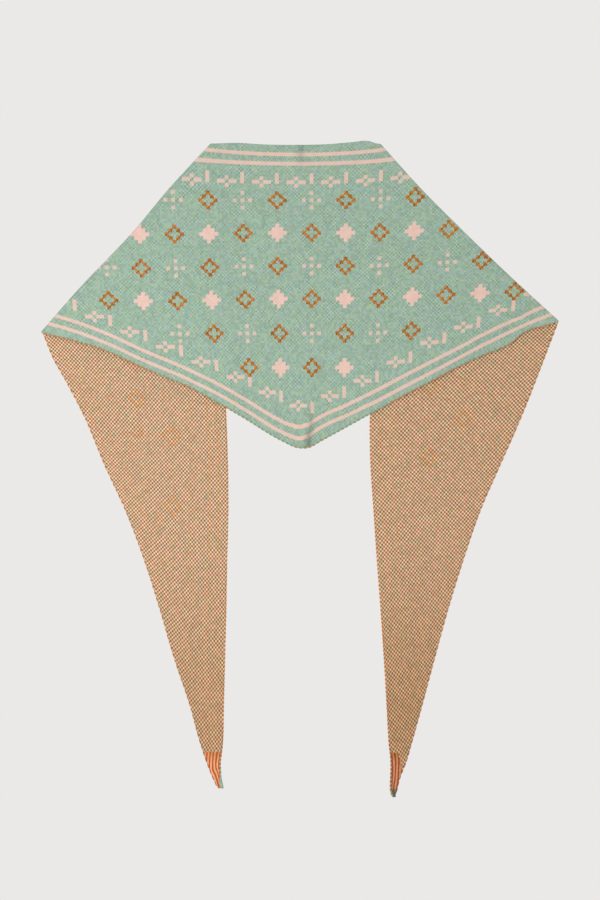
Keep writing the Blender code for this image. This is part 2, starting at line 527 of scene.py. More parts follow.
class Strand:
    """One value in a finish, which takes part in Python arithmetic."""

    __add__ = math_method("ADD")
    __radd__ = math_method("ADD", reflected=True)
    __sub__ = math_method("SUBTRACT")
    __rsub__ = math_method("SUBTRACT", reflected=True)
    __mul__ = math_method("MULTIPLY")
    __rmul__ = math_method("MULTIPLY", reflected=True)
    __truediv__ = math_method("DIVIDE")
    __rtruediv__ = math_method("DIVIDE", reflected=True)
    __gt__ = math_method("GREATER_THAN")
    __lt__ = math_method("LESS_THAN")
    least = math_method("MINIMUM")
    most = math_method("MAXIMUM")

    def __init__(self, dye: Dye, socket: bpy.types.NodeSocket) -> None:
        """Wraps a socket of the finish that dye makes."""
        self.dye = dye
        self.socket = socket

    def __abs__(self) -> Strand:
        """Drops the sign."""
        return self.dye.maths("ABSOLUTE", self)

    def whole(self) -> Strand:
        """Rounds down."""
        return self.dye.maths("FLOOR", self)

    def part(self) -> Strand:
        """Keeps what stands after the point."""
        return self.dye.maths("FRACT", self)

    def step(self, low: float, high: float) -> Strand:
        """Makes a smooth step.

        Args:
            low: The value up to which it is 0.
            high: The value from which it is 1.

        Returns:
            The step.
        """
        inputs = {"Value": self, "From Min": low, "From Max": high}
        node = self.dye.node("ShaderNodeMapRange", {"interpolation_type": "SMOOTHSTEP"}, inputs)
        return Strand(self.dye, node.outputs["Result"])


Colour = tuple[float, float, float]
Hue = Strand | Colour
Value = Hue | float


def dyed(red: float, green: float, blue: float) -> Colour:
    """Turns a screen colour of 0 to 255 a channel into the light it stands for."""

    def light(level: float) -> float:
        """Turns one channel."""
        level /= 255
        return level / 12.92 if level <= 0.04045 else ((level + 0.055) / 1.055) ** 2.4

    return light(red), light(green), light(blue)


class Dye:
    """Makes one material."""

    def __init__(self, name: str) -> None:
        """Starts a material with nothing in it but its output.

        Args:
            name: The material's name.
        """
        self.material = bpy.data.materials.new(name)
        self.material.use_nodes = True
        self.tree = self.material.node_tree
        self.tree.nodes.clear()
        self.output = self.tree.nodes.new("ShaderNodeOutputMaterial")

    def node(self, kind: str, settings: Mapping, inputs: Mapping[str | int, Value]) -> bpy.types.Node:
        """Adds a node.

        Args:
            kind: Its type.
            settings: Its own settings, set first.
            inputs: Values, screen colours or links for its sockets, by name or number.

        Returns:
            The node.
        """
        node = self.tree.nodes.new(kind)
        for name, setting in settings.items():
            setattr(node, name, setting)
        for key, value in inputs.items():
            socket = node.inputs[key]
            if isinstance(value, Strand):
                self.tree.links.new(value.socket, socket)
            elif socket.type == "RGBA" and not isinstance(value, float):
                socket.default_value = (*dyed(*value), 1.0)
            else:
                socket.default_value = value
        return node

    def maths(self, operation: str, *values: Strand | float) -> Strand:
        """Adds a Math node."""
        inputs = {i: v if isinstance(v, Strand) else float(v) for i, v in enumerate(values)}
        return Strand(self, self.node("ShaderNodeMath", {"operation": operation}, inputs).outputs[0])

    def mix(self, share: Strand | float, first: Hue, second: Hue, blend: str = "MIX") -> Strand:
        """Mixes two colours.

        Args:
            share: How much of the second shows.
            first: The colour at 0.
            second: The colour at 1.
            blend: The Mix node's way of mixing.

        Returns:
            The colour.
        """
        settings = {"data_type": "RGBA", "blend_type": blend}
        # The colour sockets of a Mix node are its seventh and eighth
        node = self.node("ShaderNodeMix", settings, {0: share, 6: first, 7: second})
        return Strand(self, node.outputs[2])

    def shaded(self, colour: Strand, level: Strand) -> Strand:
        """Darkens or lightens a colour by a level, 1 leaving it as it is."""
        node = self.node("ShaderNodeVectorMath", {"operation": "SCALE"}, {"Vector": colour, "Scale": level})
        return Strand(self, node.outputs["Vector"])

    def along(self, name: str) -> tuple[Strand, Strand, Strand]:
        """Reads the three numbers that each point of the mesh was given.

        Args:
            name: The name that they were given under.

        Returns:
            The numbers.
        """
        node = self.node("ShaderNodeAttribute", {"attribute_name": name}, {})
        parts = self.node("ShaderNodeSeparateXYZ", {}, {0: Strand(self, node.outputs["Vector"])})
        return tuple(Strand(self, out) for out in parts.outputs)

    def place(self) -> Strand:
        """Reads where a point of the piece lies."""
        return Strand(self, self.node("ShaderNodeTexCoord", {}, {}).outputs["Object"])

    def height_of(self, where: Strand) -> Strand:
        """Reads how far up in Y a place lies."""
        return Strand(self, self.node("ShaderNodeSeparateXYZ", {}, {0: where}).outputs[1])

    def point(self, x: Strand | float, y: Strand | float, z: Strand | float = 0.0) -> Strand:
        """Joins three numbers in one vector."""
        return Strand(self, self.node("ShaderNodeCombineXYZ", {}, {0: x, 1: y, 2: z}).outputs[0])

    def chance(self, where: Strand) -> tuple[Strand, Strand]:
        """Draws a number and a colour for each place, the same each time."""
        node = self.node("ShaderNodeTexWhiteNoise", {"noise_dimensions": "3D"}, {"Vector": where})
        return Strand(self, node.outputs["Value"]), Strand(self, node.outputs["Color"])

    def cloud(self, where: Strand, scale: float, detail: float = 2.0) -> Strand:
        """Gives a soft noise, mostly from 0.3 to 0.7."""
        inputs = {"Vector": where, "Scale": scale, "Detail": detail}
        return Strand(self, self.node("ShaderNodeTexNoise", {}, inputs).outputs["Fac"])

    def relief(self, height: Strand, depth: float, strength: float) -> Strand:
        """Bumps the surface by a height of 0 to 1 that stands for a depth in metres."""
        inputs = {"Height": height, "Distance": depth, "Strength": strength}
        return Strand(self, self.node("ShaderNodeBump", {}, inputs).outputs[0])

    def cloth(
        self, colour: Strand, roughness: Strand, normal: Strand, sheen: float = 0.08
    ) -> bpy.types.Material:
        """Closes the material as a matt cloth.

        Args:
            colour: Its colour.
            roughness: Its roughness.
            normal: Its relief.
            sheen: How much its fibres catch the light at a low angle.

        Returns:
            The material.
        """
        inputs = {
            "Base Color": colour,
            "Roughness": roughness,
            "Normal": normal,
            "Sheen Weight": sheen,
            "Sheen Roughness": 0.6,
            "Specular IOR Level": 0.15,
        }
        shader = self.node("ShaderNodeBsdfPrincipled", {}, inputs)
        self.tree.links.new(shader.outputs[0], self.output.inputs["Surface"])
        return self.material


@dataclass(frozen=True)
class Yarns:
    """The yarns as they look when knitted, as screen colours.

    The edge yarns are those of the hem, of a tail's inner edge, which is the shawl's neck side, and of
    its outer edge: each a main hue, another and a dark one.
    """

    green: Colour = (151, 180, 158)
    green_cool: Colour = (150, 178, 165)
    green_warm: Colour = (160, 182, 154)
    green_grey: Colour = (173, 176, 168)
    pink: Colour = (244, 210, 197)
    pink_deep: Colour = (220, 182, 169)
    orange: Colour = (163, 97, 30)
    orange_pale: Colour = (197, 139, 68)
    rib: Colour = (190, 86, 34)
    rib_pale: Colour = (255, 184, 138)
    dark: Colour = (131, 90, 52)
    olive: Colour = (116, 94, 56)
    brick: Colour = (145, 86, 53)
    cream: Colour = (251, 216, 182)
    sage: Colour = (237, 216, 178)
    peach: Colour = (254, 209, 182)
    mustard: Colour = (236, 180, 122)
    tip: Colour = (112, 128, 102)
    hem: tuple[Colour, ...] = ((152, 180, 157), (206, 142, 98), (124, 142, 112))
    neck_side: tuple[Colour, ...] = ((230, 164, 104), (243, 192, 144), (172, 106, 56))
    slope: tuple[Colour, ...] = ((224, 166, 114), (241, 194, 150), (150, 98, 60))


@dataclass
class Figures:
    """The knitted pattern, stitch by stitch.

    The stripes and the row of small flowers and dashes follow the neck edge, and again the hem, where
    the row climbs away from the middle: by hem_fall rows a repeat on the left, by hem_steep on the right.
    Six rows of small diamonds and crosses lie between them, as far apart as the repeat is wide, and
    keep clear of the hem's row. Along the hem the stripes step with whole stitches, in part.
    """

    dye: Dye
    lean: float = 0.5
    first_row: float = 30.0
    last_line: float = 5.0
    neck_flower_row: float = 20.0
    neck_dash_row: float = 18.0
    flower_shift: float = 8.0
    hem_flower_row: float = 140.0
    hem_fall: float = 8.0
    hem_steep: float = 8.2
    keep_clear: float = 135.4
    stripe: float = 0.92
    straight_wales: tuple[float, float] = (-14.0, 4.0)
    step_by_row: float = 0.3
    step_by_wale: float = 0.12
    border_shows: float = 0.86
    stripes_show: float = 0.92
    pink: Strand = field(init=False)
    orange: Strand = field(init=False)
    wale: Strand = field(init=False)
    row: Strand = field(init=False)
    across: Strand = field(init=False)
    down: Strand = field(init=False)
    exact: tuple[Strand, Strand] = field(init=False)

    def __post_init__(self) -> None:
        """Reads the stitch counts and works out which yarn each stitch shows."""
        wales, rows, rise = self.dye.along("stitch")
        self.across = wales.part()
        leaning = rows + abs(self.across * 2 - 1) * self.lean - self.lean / 2
        self.down = leaning.part()
        self.exact = (wales, leaning)
        self.wale = wales.whole() + 0.5
        self.row = leaning.whole() + 0.5
        left, right = self.straight_wales
        ends = (wales > right) - (wales < left)
        rise = rise - (self.row - rows) * self.step_by_row - (self.wale - wales) * ends * self.step_by_wale
        self.orange, crosses = self.field_figures()
        border = self.borders().least(1) * self.border_shows
        self.pink = crosses.most(border).most(self.stripes(rise).least(1) * self.stripes_show)

    def block(self, count: Strand, centre: Strand | float) -> Strand:
        """Says how many blocks of two stitches lie between a stitch and a centre."""
        return abs(((count - centre + 1) / 2).whole())

    def equal(self, value: Strand, to: float) -> Strand:
        """Gives 1 where a whole number is this one."""
        return abs(value - to) < 0.5

    def nearest(self, count: Strand, shift: float) -> Strand:
        """Finds which repeat a stitch belongs to."""
        return ((count + shift) / REPEAT + 0.5).whole()

    def field_figures(self) -> tuple[Strand, Strand]:
        """Draws the rows of diamonds and crosses.

        Returns:
            Where the orange diamonds are, and where the pink figures are.
        """
        column = self.nearest(self.wale, 0)
        line = self.nearest(self.row, -self.first_row)
        steps_across = self.block(self.wale, column * REPEAT)
        steps_down = self.block(self.row, line * REPEAT + self.first_row)
        steps = steps_across + steps_down
        ring = self.equal(steps, 2)
        cross = ring * self.equal(steps_across * steps_down, 0) + self.equal(steps, 0)
        wale, row = self.exact
        way = abs(wale - column * REPEAT) + abs(row - line * REPEAT - self.first_row)
        # The blocks of a diamond touch at their corners
        joins = abs(way - 4) < 0.62
        solid = steps < 2.5
        odd_place = ((column + line) / 2).part() * 2
        odd_line = (line / 2).part() * 2
        room = abs(column + 0.3) * self.hem_fall + line * REPEAT + self.first_row
        inside = (room < self.keep_clear) * (line > -0.5) * (line < self.last_line + 0.5)
        pink = (cross * (odd_line * 0.2 + 0.8) + (solid - cross) * odd_line) * (1 - odd_place)
        return ring.most(joins) * odd_place * inside, pink * inside

    def flower(self, beside: Strand, below: Strand) -> Strand:
        """Draws a flower of four petals round a gap."""
        petals = self.equal(below, 0) * (beside > 0.5) * (beside < 2.5)
        return petals + self.equal(beside, 0) * self.equal(below, 1)

    def dash(self, beside: Strand, below: Strand) -> Strand:
        """Draws a dash of two by six stitches."""
        return (abs(beside) < 1) * (abs(below) < 3)

    def hem_row(self, column: Strand) -> Strand:
        """Finds the row of the border's flower above the hem, lowest in the middle.

        Args:
            column: Which repeat the flower is in.

        Returns:
            The row.
        """
        left = (column < -0.5) * (column * self.hem_fall + 1)
        right = (column > 0.5) * ((3.5 - column * self.hem_steep).whole() - self.equal(column, 4))
        return left + right + self.hem_flower_row

    def borders(self) -> Strand:
        """Draws the flowers and dashes along the neck edge, and those along the hem.

        Returns:
            Where they are.
        """
        flower, dash = self.nearest(self.wale, self.flower_shift), self.nearest(self.wale, 0)
        flower_wale = self.block(self.wale, flower * REPEAT - self.flower_shift)
        dash_wale = self.wale - dash * REPEAT
        neck = self.flower(flower_wale, self.block(self.row, self.neck_flower_row))
        neck = neck + self.dash(dash_wale, self.row - self.neck_dash_row)
        hem = self.flower(flower_wale, self.block(self.row, self.hem_row(flower)))
        row = self.hem_row(dash) + 1 + (dash < -0.5) - (dash > 0.5) * 3
        hem = hem + self.dash(dash_wale, self.row - row)
        # Where the hem comes near the neck edge, only the neck's are drawn
        return neck.most(hem * (self.row > self.neck_flower_row + 8))

    def stripes(self, rise: Strand) -> Strand:
        """Draws the two stripes along the neck edge, and the two along the hem.

        Args:
            rise: The count of rows up from the hem.

        Returns:
            Where they are.
        """
        low, high = STRIPES
        neck = (abs(self.row - low) < 1) + (abs(self.row - high) < 1)
        hem = (abs(rise - low) < self.stripe) + (abs(rise - high) < self.stripe)
        return neck.most(hem)


@dataclass(frozen=True)
class KnitFace:
    """The face: heathered green with pink and orange figures, each stitch a small V.

    The heather's clouds are each a scale, the noise at which a cloud begins and is full, and how much
    of its hue shows there. Near a tip the figures fade out. The light is the darkest level, and each
    number that starts with by is how much lighter that makes a stitch. The number for a stitch's
    height lightens its raised parts, which paints shade into the grooves between its legs, and the
    one for the crease is how much darker the painted shade beside the crease makes it.
    """

    yarns: Yarns
    depth: float = 0.0008
    strength: float = 0.4
    clouds: Table = (
        (90.0, 0.38, 0.62, 1.0), (170.0, 0.46, 0.66, 0.6), (260.0, 0.52, 0.72, 0.6),
    )
    fade: tuple[float, float] = (-24.0, -16.0)
    light: float = 0.598
    by_groove_shade: float = 0.2
    by_turn: float = 0.25
    by_chance: float = 0.285
    by_fibre: float = 0.08
    by_wear: float = 0.22
    by_crease_shade: float = 0.4

    def material(self) -> bpy.types.Material:
        """Makes the material.

        Returns:
            The material.
        """
        dye, yarns = Dye("knit face"), self.yarns
        figures = Figures(dye)
        crease, past, _ = dye.along("lie")
        place = dye.place()
        draw, _ = dye.chance(dye.point(figures.wale, figures.row))
        fibre = dye.cloud(place, 900.0)
        green = yarns.green
        hues = (yarns.green_cool, yarns.green_warm, yarns.green_grey)
        for hue, (scale, low, high, share) in zip(hues, self.clouds):
            green = dye.mix(dye.cloud(place, scale).step(low, high) * share, green, hue)
        shown = 1 - past.step(*self.fade)
        pink = figures.pink.least(1)
        colour = dye.mix(pink * shown, green, dye.mix(draw, yarns.pink, yarns.pink_deep))
        orange = dye.mix(draw * 0.6, yarns.orange, yarns.orange_pale)
        colour = dye.mix(figures.orange.least(1) * shown, colour, orange)
        height = self.stitch(figures)
        # By turns a stitch is lighter and darker, in patches, and less so in pink
        turn = ((figures.wale + figures.row) / 2).part() * 2 - 0.5
        patch = (dye.cloud(place, 60.0).step(0.38, 0.62) * 0.9 + 0.3) * (1 - pink * 0.75)
        # Raised parts of each stitch are lighter, which paints shade into the grooves between its legs
        level = self.light + height * self.by_groove_shade + turn * patch * self.by_turn + draw * self.by_chance
        level = level + fibre * self.by_fibre + dye.cloud(place, 130.0, 4.0) * self.by_wear
        # Painted shade beside the crease, read from the first number of lie, darkens the stitches there
        level = level * (1 - (crease * -1).most(0) * self.by_crease_shade)
        relief = dye.relief(height + fibre * 0.3, self.depth, self.strength)
        return dye.cloth(dye.shaded(colour, level), 0.95 - height * 0.1, relief)

    def stitch(self, figures: Figures) -> Strand:
        """Shapes one stitch: two legs, each round across and along.

        Args:
            figures: The pattern, which says where in its stitch a point lies.

        Returns:
            The height.
        """
        leg = abs((figures.across * 2).part() * 2 - 1)
        end = abs(figures.down * 2 - 1)
        return (1 - leg * leg) * 0.55 + (1 - end * end) * 0.45


@dataclass(frozen=True)
class KnitReverse:
    """The reverse: stitches of a dark and a pale yarn by turns, drifting in hue, with plain ribs at
    the tips."""

    yarns: Yarns
    depth: float = 0.0008
    strength: float = 0.35
    rib: float = 4.0
    falloff_from: float = 0.06
    falloff_to: float = 0.34
    warm: float = 0.7
    grey: float = 0.8
    light: float = 0.78
    by_fibre: float = 0.08
    by_chance: float = 0.26

    def material(self) -> bpy.types.Material:
        """Makes the material.

        Returns:
            The material.
        """
        dye = Dye("knit reverse")
        figures = Figures(dye)
        from_edge, past, rows = dye.along("lie")
        place = dye.place()
        wale, row = figures.wale, rows.whole() + 0.5
        draw, tint = dye.chance(dye.point(wale, row, 7.0))
        right = wale > 0
        # Painted shade, as the light falls off towards the tips; with it, and on the right tail, the pale
        # yarn browns
        falloff_shade = (dye.height_of(place) * -1).step(self.falloff_from, self.falloff_to)
        dark, pale = self.yarn_pair(dye, figures, row, falloff_shade * 0.34 + right * 0.12 + 0.07)
        turn = ((wale + row) / 2).part() * 2
        height = self.loop(figures.across, rows.part())
        colour = dye.mix(height.step(0.0, 0.75), dye.mix(0.5, dark, pale), dye.mix(turn, dark, pale))
        ribs = abs((from_edge / self.rib).part() * 2 - 1)
        ribbed = past.step(-0.4, 0.4)
        colour = dye.mix(ribbed, colour, self.tip(dye, ribs, past, right))
        colour = dye.mix(0.05, colour, tint, "OVERLAY")
        fibre = dye.cloud(place, 900.0)
        # Painted shade: darker towards the tips, more on the right tail, and on the right tail's ribbed tip
        falloff_shade = falloff_shade * (right * 0.08 + 0.08) * (1 - ribbed) + ribbed * right * 0.3
        level = (self.light + fibre * self.by_fibre + draw * self.by_chance) * (1 - falloff_shade)
        height = height + (ribs * 1.2 - height) * ribbed
        relief = dye.relief(height, self.depth, self.strength)
        return dye.cloth(dye.shaded(colour, level), 0.96 - height * 0.06, relief)

    def yarn_pair(self, dye: Dye, figures: Figures, row: Strand, mustard: Strand) -> tuple[Strand, Strand]:
        """Dyes both yarns, with the face's figures floating faintly through.

        Args:
            dye: The finish.
            figures: The pattern of the face.
            row: The row of each stitch.
            mustard: How much the pale yarn is browned away from the figures, and more with the painted
            shade towards the tips and on the right tail.

        Returns:
            The colours of the dark and of the pale yarn.
        """
        yarns, wale = self.yarns, figures.wale
        warm = dye.cloud(dye.point(wale * 0.3, row * 0.3, 2.0), 1.0).step(0.4, 0.6) * self.warm
        grey = dye.cloud(dye.point(wale * 0.27, row * 0.27, 9.0), 1.0).step(0.46, 0.62) * self.grey
        shows = (figures.pink.least(1) * 0.45 + figures.orange).least(1)
        dark = dye.mix(grey, dye.mix(warm, yarns.dark, yarns.brick), yarns.olive)
        pale = dye.mix(grey, dye.mix(warm, yarns.cream, yarns.peach), yarns.sage)
        dark = dye.mix(shows * 0.8, dark, yarns.orange)
        return dark, dye.mix((shows * 0.65).most(mustard), pale, yarns.mustard)

    def tip(self, dye: Dye, ribs: Strand, past: Strand, right: Strand) -> Strand:
        """Dyes the plain ribs of a tip.

        Args:
            dye: The finish.
            ribs: How far a point lies from its rib's middle, from 0 to 1.
            past: Millimetres past the start of the ribs.
            right: 1 on the right tail, whose last rows are green.

        Returns:
            The colour.
        """
        yarns = self.yarns
        plain = dye.mix(ribs.step(0.2, 0.8), yarns.rib, yarns.rib_pale)
        plain = dye.mix((1 - past.step(0.0, 14.0)) * 0.45, plain, yarns.orange)
        return dye.mix(past.step(44.0, 47.0) * right * 0.9, plain, yarns.tip)

    def loop(self, across: Strand, down: Strand) -> Strand:
        """Shapes one stitch: a small round loop.

        Args:
            across: Where across its stitch a point lies, from 0 to 1.
            down: Where down it.

        Returns:
            The height.
        """
        side = across * 2 - 1
        end = down * 2 - 1
        return (1 - side * side) * (1 - end * end)


@dataclass(frozen=True)
class KnitRim:
    """The cut of the wall between face and reverse, where yarns of both sides show."""

    yarns: Yarns

    def material(self) -> bpy.types.Material:
        """Makes the material.

        Returns:
            The material.
        """
        dye, yarns = Dye("knit rim"), self.yarns
        place = dye.place()
        colour = dye.mix(dye.cloud(place, 420.0).step(0.42, 0.58), yarns.green, yarns.orange_pale)
        fibre = dye.cloud(place, 1400.0)
        colour = dye.shaded(colour, 0.8 + fibre * 0.3)
        return dye.cloth(colour, 0.97 - fibre * 0.04, dye.relief(fibre, 0.0004, 0.3))


@dataclass(frozen=True)
class EdgeYarn:
    """The yarn of the edge stitches: two hues by chance, each stitch darker at its middle.

    The second hue shows more in the part of the row that lies further up in Y, by the share more.
    Towards the tips the yarn is darker, painted shade as on the tails' reverse. A stitch's ends are
    lighter than its middle, painted light against the shade where the stitches overlap.
    """

    name: str
    main: Colour
    other: Colour
    dark: Colour
    more: float = 0.0
    up: tuple[float, float] = (0.06, 0.1)
    falloff_from: float = 0.3
    falloff_to: float = 0.38

    def material(self) -> bpy.types.Material:
        """Makes the material.

        Returns:
            The material.
        """
        dye = Dye(self.name)
        _, run, draw = dye.along("edge")
        place = dye.place()
        share = draw + dye.height_of(place).step(*self.up) * self.more
        fibre = dye.cloud(place, 1200.0)
        colour = dye.mix(share.step(0.55, 0.95), self.main, self.other)
        # Painted shade towards the tips, as on the tails' reverse
        falloff_shade = (dye.height_of(place) * -1).step(self.falloff_from, self.falloff_to)
        # Each stitch is darker at its middle and lighter at its ends, the lighter ends painted light against
        # the shade where the stitches overlap; towards the tips painted shade darkens it
        colour = dye.mix(((1 - run.step(0.1, 0.6)) * 0.85).most(falloff_shade * 0.8), colour, self.dark)
        colour = dye.shaded(colour, (0.88 + fibre * 0.24) * (1 - falloff_shade * 0.35))
        return dye.cloth(colour, 0.94 - fibre * 0.04, dye.relief(fibre, 0.0003, 0.3))


def deselected() -> None:
    """Drops every selection, so that an operator acts on the new piece alone."""
    bpy.ops.object.select_all(action="DESELECT")


@dataclass
class Sheet:
    """A closed wall of cloth round a grid of points."""

    name: str
    knit: Knit
    middle: np.ndarray
    out: np.ndarray
    walls: np.ndarray
    stitch: np.ndarray
    lie: np.ndarray
    sharp: float = math.radians(70)

    def faces(self) -> dict[Layer, np.ndarray]:
        """Joins the points, those of the face first and then those of the reverse.

        Returns:
            The corners of each layer's faces.
        """
        rows, columns = self.middle.shape[:2]
        number = np.arange(rows * columns).reshape(rows, columns)
        quads = np.stack([number[:-1, :-1], number[1:, :-1], number[1:, 1:], number[:-1, 1:]], axis=-1)
        quads = quads.reshape(-1, 4)
        loop = np.concatenate([number[:, 0], number[-1, 1:], number[-2::-1, -1], number[0, -2:0:-1]])
        ahead = np.roll(loop, -1)
        rim = np.stack([ahead, loop, loop + number.size, ahead + number.size], axis=-1)
        # One square in the middle says whether they all point outwards
        row, column = rows // 2, columns // 2
        first = self.middle[row, column]
        faces_out = np.cross(self.middle[row + 1, column] - first, self.middle[row, column + 1] - first)
        if faces_out @ self.out[row, column] < 0:
            quads, rim = quads[:, ::-1], rim[:, ::-1]
        return {Layer.FACE: quads, Layer.REVERSE: quads[:, ::-1] + number.size, Layer.RIM: rim}

    def build(self, finishes: Mapping[Layer, bpy.types.Material]) -> bpy.types.Object:
        """Makes the mesh.

        Args:
            finishes: The material of each layer.

        Returns:
            The object, at the origin.
        """
        half = (self.out * (self.walls * self.knit.wall / 2)[..., None]).reshape(-1, 3)
        middle = self.middle.reshape(-1, 3)
        faces = self.faces()
        mesh = bpy.data.meshes.new(self.name)
        points = np.concatenate([middle + half, middle - half]) * MM
        mesh.from_pydata(points, [], np.concatenate(list(faces.values())).tolist())
        layers = np.repeat([layer.value for layer in faces], [len(part) for part in faces.values()])
        mesh.polygons.foreach_set("material_index", layers.astype(np.int32))
        for layer in Layer:
            mesh.materials.append(finishes[layer])
        for name, values in (("stitch", self.stitch), ("lie", self.lie)):
            mark(mesh, name, np.concatenate([values.reshape(-1, 3)] * 2))
        mesh.shade_smooth()
        mesh.set_sharp_from_angle(angle=self.sharp)
        mesh.validate()
        made = bpy.data.objects.new(self.name, mesh)
        bpy.context.scene.collection.objects.link(made)
        return made


@dataclass(frozen=True)
class Bead:
    """One edge stitch, and how far inside the edge the row of them lies."""

    length: float
    width: float
    height: float
    depth: float


@dataclass
class EdgeStitches:
    """A row of edge stitches along a path."""

    name: str
    bead: Bead
    slant: float = math.radians(8)
    overlap: float = 0.62
    segments: int = 8
    rings: int = 6

    @property
    def half(self) -> float:
        """Half the length of a stitch, with what lies under the next."""
        return self.bead.length * self.overlap

    def stitch(self) -> bpy.types.Object:
        """Models one stitch: a bean lying along X, a little askew.

        Returns:
            The stitch.
        """
        deselected()
        bpy.ops.mesh.primitive_uv_sphere_add(segments=self.segments, ring_count=self.rings, radius=1)
        made = bpy.context.object
        bpy.ops.object.mode_set(mode="EDIT")
        bpy.ops.mesh.select_all(action="SELECT")
        centre = (0, 0, 0)
        bpy.ops.transform.rotate(value=math.pi / 2, orient_axis="Y", center_override=centre)
        size = (self.half * MM, self.bead.width / 2 * MM, self.bead.height / 2 * MM)
        bpy.ops.transform.resize(value=size)
        bpy.ops.transform.rotate(value=self.slant, orient_axis="Z", center_override=centre)
        bpy.ops.object.mode_set(mode="OBJECT")
        made.name = self.name
        made.data.name = self.name
        return made

    def marked(self, made: bpy.types.Object) -> None:
        """Marks on one stitch how far round and how far along each point lies.

        Args:
            made: The stitch.
        """
        at = np.array([v.co for v in made.data.vertices]) / MM
        values = [at[:, 2] / self.bead.height + 0.5, np.abs(at[:, 0]) / self.half, np.zeros(len(at))]
        mark(made.data, "edge", np.stack(values, axis=-1))

    def path(self, points: np.ndarray) -> bpy.types.Object:
        """Makes the curve that the stitches follow.

        Args:
            points: Its points, in millimetres.

        Returns:
            The curve.
        """
        line = bpy.data.curves.new(self.name + "_path", "CURVE")
        line.dimensions = "3D"
        line.twist_mode = "Z_UP"
        spline = line.splines.new("POLY")
        spline.points.add(len(points) - 1)
        flat = np.concatenate([points * MM, np.ones((len(points), 1))], axis=1)
        spline.points.foreach_set("co", flat.astype(np.float32).ravel())
        made = bpy.data.objects.new(line.name, line)
        bpy.context.scene.collection.objects.link(made)
        return made

    def build(self, points: np.ndarray, finish: bpy.types.Material) -> bpy.types.Object:
        """Lays the stitches along a path.

        Args:
            points: The path, in millimetres.
            finish: Their material.

        Returns:
            The object, at the origin.
        """
        made = self.stitch()
        self.marked(made)
        path = self.path(points)
        total = np.linalg.norm(np.diff(points, axis=0), axis=1).sum()
        row = made.modifiers.new("row", "ARRAY")
        row.count = int(total / self.bead.length)
        row.use_relative_offset = False
        row.use_constant_offset = True
        row.constant_offset_displace = (total / row.count * MM, 0, 0)
        bend = made.modifiers.new("follow", "CURVE")
        bend.object = path
        for name in ("row", "follow"):
            bpy.ops.object.modifier_apply(modifier=name)
        data = path.data
        bpy.data.objects.remove(path)
        bpy.data.curves.remove(data)
        self.drawn(made)
        made.data.materials.append(finish)
        made.data.shade_smooth()
        return made

    def drawn(self, made: bpy.types.Object) -> None:
        """Draws a number for each stitch, on which its hue depends.

        Args:
            made: The row of stitches.
        """
        attribute = made.data.attributes["edge"]
        values = np.empty(len(made.data.vertices) * 3, np.float32)
        attribute.data.foreach_get("vector", values)
        values = values.reshape(-1, 3)
        each = self.segments * (self.rings - 1) + 2
        count = len(values) // each
        rng = np.random.default_rng(len(self.name) + count)
        values[:, 2] = np.repeat(rng.random(count), each)
        attribute.data.foreach_set("vector", values.ravel())


